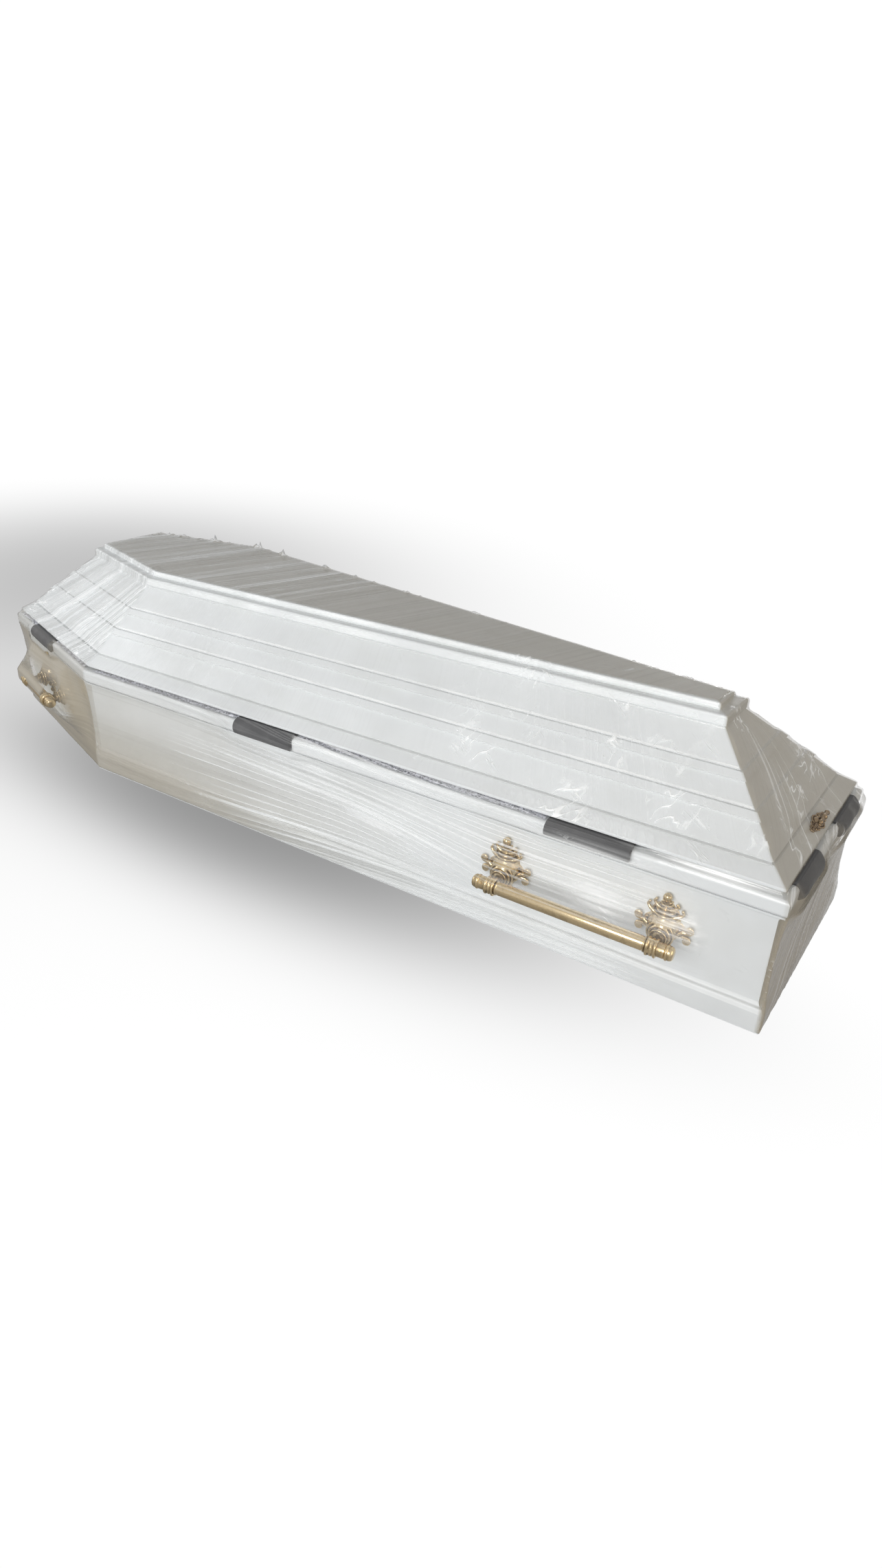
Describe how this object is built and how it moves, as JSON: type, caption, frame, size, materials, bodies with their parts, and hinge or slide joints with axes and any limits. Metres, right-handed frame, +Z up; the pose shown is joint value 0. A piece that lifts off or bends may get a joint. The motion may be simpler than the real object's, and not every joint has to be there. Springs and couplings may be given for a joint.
{
  "type": "coffin",
  "caption": "Long six-sided shouldered wooden coffin painted white, with a hipped stepped lid on foam edge sleeves, bar handles and closing screws.",
  "frame": {"origin": "centre of the underside's bounding rectangle, on the surface the coffin stands on", "axes": "+X along the length from head to foot, +Z up, right-hand side of the person inside at -Y"},
  "size_m": [2.018, 0.7572, 0.434],
  "materials": {
    "white_paint": "white lacquer, semi-gloss",
    "bare_wood": "plain board, matt",
    "grey_foam": "closed-cell foam, satin skin",
    "brass_finish": "lacquered antique brass",
    "aged_bronze": "dark bronze patina"
  },
  "bodies": {
    "root": {"bottom_board": "bare_wood", "right_shoulder_wall": "white_paint", "right_side_wall": "white_paint", "foot_wall": "white_paint", "left_side_wall": "white_paint", "left_shoulder_wall": "white_paint", "head_wall": "white_paint", "right_shoulder_plinth": "white_paint", "right_side_plinth": "white_paint", "foot_plinth": "white_paint", "left_side_plinth": "white_paint", "left_shoulder_plinth": "white_paint", "head_plinth": "white_paint", "right_shoulder_rim": "white_paint", "right_side_rim": "white_paint", "foot_rim": "white_paint", "left_side_rim": "white_paint", "left_shoulder_rim": "white_paint", "head_rim": "white_paint", "right_shoulder_lid_rail": "white_paint", "right_side_lid_rail": "white_paint", "foot_lid_rail": "white_paint", "left_side_lid_rail": "white_paint", "left_shoulder_lid_rail": "white_paint", "head_lid_rail": "white_paint", "right_shoulder_lid_panel": "white_paint", "right_side_lid_panel": "white_paint", "foot_lid_panel": "white_paint", "left_side_lid_panel": "white_paint", "left_shoulder_lid_panel": "white_paint", "head_lid_panel": "white_paint", "lid_ledge_board": "white_paint", "lid_top_board": "white_paint", "right_shoulder_foam_sleeve": "grey_foam", "right_side_foam_sleeve": "grey_foam", "right_foot_side_foam_sleeve": "grey_foam", "right_foot_end_foam_sleeve": "grey_foam", "left_foot_end_foam_sleeve": "grey_foam", "left_foot_side_foam_sleeve": "grey_foam", "left_side_foam_sleeve": "grey_foam", "left_shoulder_foam_sleeve": "grey_foam", "left_head_end_foam_sleeve": "grey_foam", "right_head_end_foam_sleeve": "grey_foam", "right_shoulder_handle_bar": "brass_finish", "right_side_handle_bar": "brass_finish", "left_side_handle_bar": "brass_finish", "left_shoulder_handle_bar": "brass_finish", "right_shoulder_first_bracket": "brass_finish", "right_shoulder_second_bracket": "brass_finish", "right_side_first_bracket": "brass_finish", "right_side_second_bracket": "brass_finish", "left_side_first_bracket": "brass_finish", "left_side_second_bracket": "brass_finish", "left_shoulder_first_bracket": "brass_finish", "left_shoulder_second_bracket": "brass_finish", "foot_closing_screw": "aged_bronze", "head_closing_screw": "aged_bronze"}
  },
  "joints": []
}
